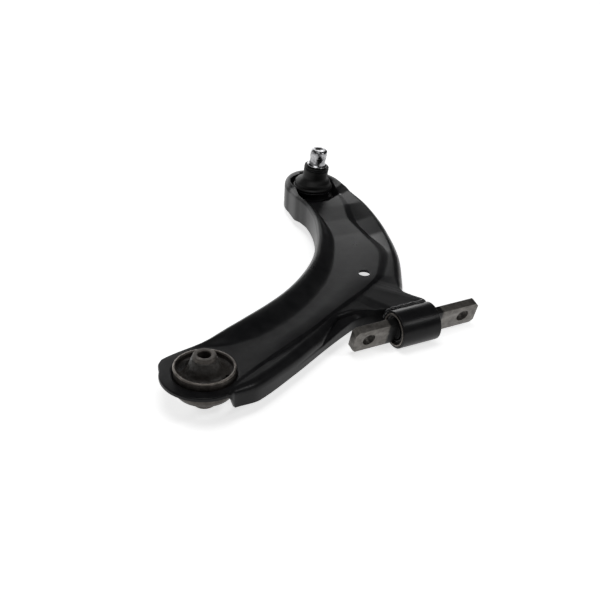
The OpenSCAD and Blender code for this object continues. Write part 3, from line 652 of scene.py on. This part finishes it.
def build_boot():
    """The boot: its foot stands upright on the housing, and its top leans with the stud."""
    upright = Matrix.Translation((BALL.x, BALL.y, 0))
    base = BALL.z + BALL_R - 5
    w, foot_r, top_r = BOOT_WALL, BOOT_BASE_R, BOOT_TOP_R
    low_out = [(HOUSING_R - 1.4, base), (foot_r - 1.6, base), (foot_r - 1.6, base + 2.6),
               (foot_r, base + 3.2), (foot_r, base + 5.4), (foot_r - 2.2, base + 7),
               (foot_r - 2.2, base + 9), (foot_r - 3, base + 12), (top_r + 3, base + 14.6)]
    high_out = [(top_r + 1.4, base + 16), (top_r, base + 18), (top_r, BOOT_TOP - 5),
                (top_r - 1.4, BOOT_TOP - 4.4), (top_r - 1.4, BOOT_TOP - 2.6),
                (top_r, BOOT_TOP - 2), (top_r, BOOT_TOP - 0.6), (top_r - 0.6, BOOT_TOP)]
    high_in = [(STUD_R + 0.05, BOOT_TOP), (STUD_R + 0.05, BOOT_TOP - 6.5),
               (top_r - w - 1, BOOT_TOP - 7.5), (top_r - w, base + 17)]
    low_in = [(top_r + 1.4 - w, base + 14.6), (foot_r - 3 - w, base + 11),
              (foot_r - 2.6 - w, base + 8), (HOUSING_R - 3, base + 5.2),
              (HOUSING_R - 1, base + 5.2), (HOUSING_R - 1, base + 3.2)]
    outline = rounded(low_out + high_out + high_in + low_in, 0.9, 4)
    boot = revolve("boot", outline, place=upright, sharp=70)
    lean = stud_place() @ upright.inverted()
    z0, z1 = (base + 11) * MM, (base + 17) * MM
    for v in boot.data.vertices:
        t = smooth_step(min(max((v.co.z - z0) / (z1 - z0), 0), 1))
        there = (lean @ (v.co / MM)) * MM
        v.co = v.co.lerp(there, t)
    return boot


def part_of(obj, name, level, above):
    """A copy of what lies above or below a level, closed there by a flat ring."""
    bm = bmesh.new()
    bm.from_mesh(obj.data)
    bmesh.ops.bisect_plane(bm, geom=bm.verts[:] + bm.edges[:] + bm.faces[:], dist=1e-7,
                           plane_co=(0, 0, level * MM), plane_no=(0, 0, 1),
                           clear_outer=not above, clear_inner=above)
    bmesh.ops.bridge_loops(bm, edges=[e for e in bm.edges if e.is_boundary])
    bmesh.ops.recalc_face_normals(bm, faces=bm.faces)
    mesh = bpy.data.meshes.new(name)
    bm.to_mesh(mesh)
    bm.free()
    part = bpy.data.objects.new(name, mesh)
    bpy.context.collection.objects.link(part)
    resharpen(part, 70)
    return part


# ---- Materials -----------------------------------------------------------------------
def material(name, color, rough, metallic=0.0, specular=0.5):
    """A plain material, its tree and its shader, to which the functions below add detail."""
    mat = bpy.data.materials.new(name)
    mat.use_nodes = True
    shader = mat.node_tree.nodes["Principled BSDF"]
    shader.inputs["Base Color"].default_value = (*color, 1)
    shader.inputs["Roughness"].default_value = rough
    shader.inputs["Metallic"].default_value = metallic
    shader.inputs["Specular IOR Level"].default_value = specular
    return mat, mat.node_tree, shader


def noise_node(tree, scale, detail=4.0, rough=0.6, stretch=(1, 1, 1)):
    """A noise in the object's own space, scale in waves per metre."""
    coords = tree.nodes.new("ShaderNodeTexCoord")
    mapping = tree.nodes.new("ShaderNodeMapping")
    mapping.inputs["Scale"].default_value = stretch
    tex = tree.nodes.new("ShaderNodeTexNoise")
    tex.inputs["Scale"].default_value = scale
    tex.inputs["Detail"].default_value = detail
    tex.inputs["Roughness"].default_value = rough
    tree.links.new(coords.outputs["Object"], mapping.inputs["Vector"])
    tree.links.new(mapping.outputs["Vector"], tex.inputs["Vector"])
    return tex.outputs["Fac"]


def ramp_node(tree, fac, stops):
    """Turns a noise into the greys or colours of its stops."""
    ramp = tree.nodes.new("ShaderNodeValToRGB")
    while len(ramp.color_ramp.elements) < len(stops):
        ramp.color_ramp.elements.new(0.5)
    for element, (pos, color) in zip(ramp.color_ramp.elements, stops):
        element.position = pos
        element.color = (*color, 1) if isinstance(color, tuple) else (color, color, color, 1)
    tree.links.new(fac, ramp.inputs["Fac"])
    return ramp.outputs["Color"]


def math_node(tree, operation, *values):
    """A Math node; each value is a number or another node's output."""
    node = tree.nodes.new("ShaderNodeMath")
    node.operation = operation
    for socket, value in zip(node.inputs, values):
        if isinstance(value, bpy.types.NodeSocket):
            tree.links.new(value, socket)
        else:
            socket.default_value = value
    return node.outputs[0]


def vary(tree, shader, socket, noise, *stops):
    """Lets a noise choose a socket's value between stops."""
    tree.links.new(ramp_node(tree, noise, stops), shader.inputs[socket])


def add_bump(tree, shader, fac, strength, distance):
    """Adds a bump, over any that is there already."""
    bump = tree.nodes.new("ShaderNodeBump")
    bump.inputs["Strength"].default_value = strength
    bump.inputs["Distance"].default_value = distance
    previous = shader.inputs["Normal"].links
    if previous:
        tree.links.new(previous[0].from_socket, bump.inputs["Normal"])
    tree.links.new(fac, bump.inputs["Height"])
    tree.links.new(bump.outputs["Normal"], shader.inputs["Normal"])


def coated_steel(name="e_coat", specular=0.18):
    """Black dip coat: nearly black, satin gloss, faint orange peel and cloudy sheen."""
    mat, tree, shader = material(name, (0.011, 0.011, 0.012), 0.34, specular=specular)
    vary(tree, shader, "Roughness", noise_node(tree, 18, 5), (0.3, 0.27), (0.7, 0.37))
    vary(tree, shader, "Base Color", noise_node(tree, 60, 4),
         (0.35, (0.008, 0.008, 0.009)), (0.7, (0.016, 0.016, 0.017)))
    add_bump(tree, shader, noise_node(tree, 900, 2), 0.05, 0.0004)
    return mat


def weld_bead():
    """Coated weld: the same black, rougher and more uneven."""
    mat, tree, shader = material("weld", (0.014, 0.014, 0.015), 0.38)
    add_bump(tree, shader, noise_node(tree, 500, 3), 0.4, 0.0008)
    vary(tree, shader, "Roughness", noise_node(tree, 200, 3), (0.3, 0.25), (0.75, 0.55))
    return mat


def bare_steel(name="bare_steel", light=1.0):
    """Phosphated steel with brown-grey patches; light scales its colour, which paints a highlight
    or shade on a copy.
    """
    mat, tree, shader = material(name, (0.10, 0.09, 0.08), 0.45, 0.75)
    stops = [(0.25, (0.050, 0.045, 0.041)), (0.5, (0.115, 0.104, 0.094)),
             (0.8, (0.20, 0.184, 0.167))]
    # light multiplies every stop: above 1 it paints a highlight, below 1 it paints shade
    vary(tree, shader, "Base Color", noise_node(tree, 120, 6, 0.65),
         *((pos, tuple(c * light for c in color)) for pos, color in stops))
    vary(tree, shader, "Roughness", noise_node(tree, 300, 4), (0.3, 0.38), (0.75, 0.6))
    add_bump(tree, shader, noise_node(tree, 700, 3), 0.12, 0.0004)
    return mat


def bar_steel():
    """The bar's bare flats, with the black bonding coat that runs out beside the bush."""
    mat, tree, shader = material("bar_steel", (0.13, 0.12, 0.11), 0.45, 0.75)
    bare_color = ramp_node(tree, noise_node(tree, 130, 6, 0.65),
                           [(0.25, (0.075, 0.070, 0.064)), (0.5, (0.155, 0.146, 0.134)),
                            (0.8, (0.26, 0.246, 0.228))])
    coords = tree.nodes.new("ShaderNodeTexCoord")
    split = tree.nodes.new("ShaderNodeSeparateXYZ")
    tree.links.new(coords.outputs["Object"], split.inputs[0])
    middle, ragged, fade = (TUBE_X + TUBE_LENGTH / 2) * MM, 0.006, 0.0025
    away = math_node(tree, "ABSOLUTE", math_node(tree, "SUBTRACT", split.outputs["X"], middle))
    frayed = math_node(tree, "MULTIPLY_ADD", noise_node(tree, 160, 4), ragged, away)
    edge = (TUBE_LENGTH / 2 + 10) * MM + ragged / 2
    coat_out = tree.nodes.new("ShaderNodeMapRange")
    coat_out.inputs["From Min"].default_value = edge
    coat_out.inputs["From Max"].default_value = edge + fade
    tree.links.new(frayed, coat_out.inputs["Value"])
    mix = tree.nodes.new("ShaderNodeMix")
    mix.data_type = "RGBA"
    tree.links.new(coat_out.outputs[0], mix.inputs["Factor"])
    mix.inputs["A"].default_value = (0.016, 0.016, 0.016, 1)
    tree.links.new(bare_color, mix.inputs["B"])
    tree.links.new(mix.outputs["Result"], shader.inputs["Base Color"])
    vary(tree, shader, "Roughness", noise_node(tree, 300, 4), (0.3, 0.36), (0.75, 0.56))
    add_bump(tree, shader, noise_node(tree, 700, 3), 0.15, 0.0004)
    return mat


def bright_steel():
    """Turned stud steel: fine rings round the axis, and dark stains."""
    mat, tree, shader = material("stud_steel", (0.4, 0.4, 0.41), 0.25, 1.0)
    rings = noise_node(tree, 60, 3, 0.5, (1, 1, 60))
    vary(tree, shader, "Roughness", rings, (0.3, 0.16), (0.75, 0.34))
    vary(tree, shader, "Base Color", noise_node(tree, 170, 5), (0.40, (0.08, 0.08, 0.085)),
         (0.50, (0.30, 0.30, 0.31)), (0.7, (0.50, 0.50, 0.51)))
    add_bump(tree, shader, rings, 0.08, 0.0003)
    return mat


def rubber(name="rubber", shade=0.012, rough=0.55, tint=(1, 1, 1), specular=0.5, lumps=0):
    """Black rubber with a cloudy skin; lumps is the strength of a coarse unevenness."""
    mat, tree, shader = material(name, (shade, shade, shade), rough, specular=specular)
    vary(tree, shader, "Roughness", noise_node(tree, 80, 5), (0.3, rough - 0.1),
         (0.75, rough + 0.12))
    dark, pale = (tuple(shade * share * t for t in tint) for share in (0.7, 1.6))
    vary(tree, shader, "Base Color", noise_node(tree, 45, 6), (0.3, dark), (0.75, pale))
    add_bump(tree, shader, noise_node(tree, 1200, 3), 0.15, 0.0003)
    if lumps:
        add_bump(tree, shader, noise_node(tree, 110, 3), lumps, 0.003)
    return mat


def plastic():
    """The bearing's pale plastic."""
    mat, tree, shader = material("bearing", (0.6, 0.57, 0.48), 0.5)
    add_bump(tree, shader, noise_node(tree, 900, 3), 0.1, 0.0002)
    return mat


# ---- Put together --------------------------------------------------------------------
def put(obj, mat, body, slot, *nodes):
    """Gives a piece its material and body, and hides the CAD nodes that it stands for; slot is not
    used.
    """
    obj.data.materials.clear()
    obj.data.materials.append(mat)
    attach(obj, body)
    if nodes:
        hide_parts(*nodes)


def pocket_painted_shade(obj, mat):
    """Gives a coat that reflects less, as painted shade, to the upward faces in the ball joint's
    pocket and beside it.
    """
    obj.data.materials.append(mat)
    for face in obj.data.polygons:
        spot = face.center / MM - BALL
        near = math.hypot(spot.x, spot.y) < POCKET_SHADE_R and spot.x < POCKET_SHADE_SIDE
        if near and face.center.z / MM < POCKET_SHADE_LEVEL and face.normal.z > 0.2:
            face.material_index = 1


def put_boot():
    """Splits the boot at a level into a skirt and a neck, gives both the boot's rubber and hides
    the CAD boot.
    """
    boot = build_boot()
    low, mid, high = BALL.z + 14, BALL.z + 30, BOOT_TOP - 6
    skirt, neck = (part_of(boot, name, mid, above)
                   for name, above in (("boot_skirt", False), ("boot_neck", True)))
    bpy.data.objects.remove(boot)
    for piece, ends, levels in ((skirt, ("arm", "boot"), (low, mid)),
                                (neck, ("boot", "boot_collar"), (mid, high))):
        piece.data.materials.append(boot_mat)
        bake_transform(piece)
        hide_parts("ball_joint_boot")


# the second coat has a lower specular level and paints shade into the ball joint's pocket
coat, pocket_shade_coat, black_ring = (coated_steel(), coated_steel("e_coat_pocket_shade", 0.08),
                               coated_steel("black_ring"))
weld_mat, bare, bright, bar_mat = weld_bead(), bare_steel(), bright_steel(), bar_steel()
# bare steel copies: one 0.72 times darker paints shade on the rear sleeve's wall, one 1.9 times
# lighter paints a highlight on the rim's bead and the front sleeve
painted_shade_steel, painted_highlight_steel = bare_steel("painted_shade_steel", 0.72), bare_steel("painted_highlight_steel", 1.9)
ring_steel, nylon, rub = bare_steel("ring_steel"), plastic(), rubber()
bush_rub = rubber("bush_rubber", 0.030, 0.5, (1.12, 1.0, 0.9), lumps=0.7)
boot_mat = rubber("boot_rubber", 0.007, 0.5, specular=0.22)

arm = build_arm()
put(arm, coat, "arm", "e_coat", "arm_shell")
# painted shade: the pocket's upward faces get the less reflective coat
pocket_painted_shade(arm, pocket_shade_coat)
tube, sleeve, front_rubber = build_front_bush()
put(tube, coat, "arm", "e_coat", "front_bush_tube")
# the front sleeve's end ring gets the lighter steel, a painted highlight on bare steel
put(sleeve, painted_highlight_steel, "arm", "bare_steel", "front_bush_outer_sleeve")
put(front_rubber, rub, "arm", "rubber", "front_bush_rubber")
put(build_welds(), weld_mat, "arm", "weld", "front_tube_welds")
put(build_bar(), bar_mat, "front_bar", "bare_steel", "front_bar_pin")
rear_sleeve, rear_bead, rear_inner, rear_rubber = build_rear_bush()
# the rear sleeve gets the darker steel, painted shade on its wall
put(rear_sleeve, painted_shade_steel, "arm", "bare_steel", "rear_bush_outer_sleeve")
# the rolled bead on the rear sleeve's rim gets the lighter steel, a painted highlight on bare
# steel
put(rear_bead, painted_highlight_steel, "arm", "bare_steel")
put(rear_inner, bare, "rear_inner", "bare_steel", "rear_bush_inner_sleeve")
put(rear_rubber, bush_rub, "arm", "rubber", "rear_bush_rubber")
put(build_stud(), bright, "stud", "stud_steel", "ball_stud")
put_boot()

carried = {"ball_joint_housing": coat, "ball_joint_bearing": nylon,
           "ball_joint_cover_plate": ring_steel, "ball_joint_snap_ring": black_ring,
           "boot_lower_ring": black_ring, "boot_upper_ring": black_ring}
for node, mat in carried.items():
    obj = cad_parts[node]
    obj.data.materials.clear()
    obj.data.materials.append(mat)


# ---- Stage, light and camera ---------------------------------------------------------
FLOOR_SIZE, FLOOR_GAP, FLOOR_GLOW = 400, 0.0005, 0.7
WORLD_LIGHT = 0.035
CENTRE = (0.2, 0.18, 0)


def build_floor():
    """A white floor that glows for the camera and in reflections, and keeps the shadow."""
    place = (0.2, 0.2, cad_box[0][2] - FLOOR_GAP)
    bpy.ops.mesh.primitive_plane_add(size=FLOOR_SIZE, location=place)
    floor = bpy.context.object
    floor.name = "floor"
    mat, tree, shader = material("floor_white", (0.9, 0.9, 0.9), 0.7)
    path = tree.nodes.new("ShaderNodeLightPath")
    seen = path.outputs["Is Camera Ray"]
    for name in ("Is Glossy Ray", "Is Transmission Ray"):
        seen = math_node(tree, "MAXIMUM", seen, path.outputs[name])
    glow = math_node(tree, "MULTIPLY", seen, FLOOR_GLOW)
    shader.inputs["Emission Color"].default_value = (1, 1, 1, 1)
    tree.links.new(glow, shader.inputs["Emission Strength"])
    floor.data.materials.append(mat)


def area_light(name, place, target, size, power):
    """A white lamp of some width and height that points at a target."""
    light = bpy.data.lights.new(name, "AREA")
    light.shape = "RECTANGLE"
    light.size, light.size_y = size
    light.energy = power
    obj = bpy.data.objects.new(name, light)
    obj.location = place
    direction = Vector(target) - Vector(place)
    obj.rotation_euler = direction.to_track_quat("-Z", "Y").to_euler()
    bpy.context.collection.objects.link(obj)


def build_light():
    """A faint white world and four lamps."""
    world = bpy.data.worlds.new("studio")
    bpy.context.scene.world = world
    world.use_nodes = True
    background = world.node_tree.nodes["Background"]
    background.inputs["Color"].default_value = (1, 1, 1, 1)
    background.inputs["Strength"].default_value = WORLD_LIGHT
    # a broad low wall of light behind the arm, which its flat web mirrors towards the camera
    area_light("back", (0.47, 2.4, 0.55), CENTRE, (2.65, 1.15), 25)
    area_light("left", (-1.6, 1.2, 0.6), CENTRE, (1.2, 1.0), 3.5)
    # a small lamp that draws the streak along the tube and on the fold beside it
    area_light("right_front", (1.07, -0.85, 1.05), (0.27, 0.01, 0), (0.3, 0.3), 3)
    area_light("top", (-0.1, -0.2, 2.4), CENTRE, (1.2, 1.2), 16)


def build_camera():
    """The camera at the photograph's angle, from its own right and up."""
    data = bpy.data.cameras.new("camera")
    data.sensor_width = 36
    data.lens = 68.13
    cam = bpy.data.objects.new("camera", data)
    right = Vector((0.88203, -0.46912, 0.04418))
    up = Vector((0.20788, 0.47155, 0.85699))
    back = right.cross(up)
    turn = Matrix((right, up, back)).transposed()
    cam.matrix_world = Matrix.Translation((-0.40817, -0.92004, 0.69551)) @ turn.to_4x4()
    bpy.context.collection.objects.link(cam)
    bpy.context.scene.camera = cam


build_floor()
build_light()
build_camera()
bpy.context.scene.view_settings.view_transform = "Standard"

bpy.context.view_layer.update()
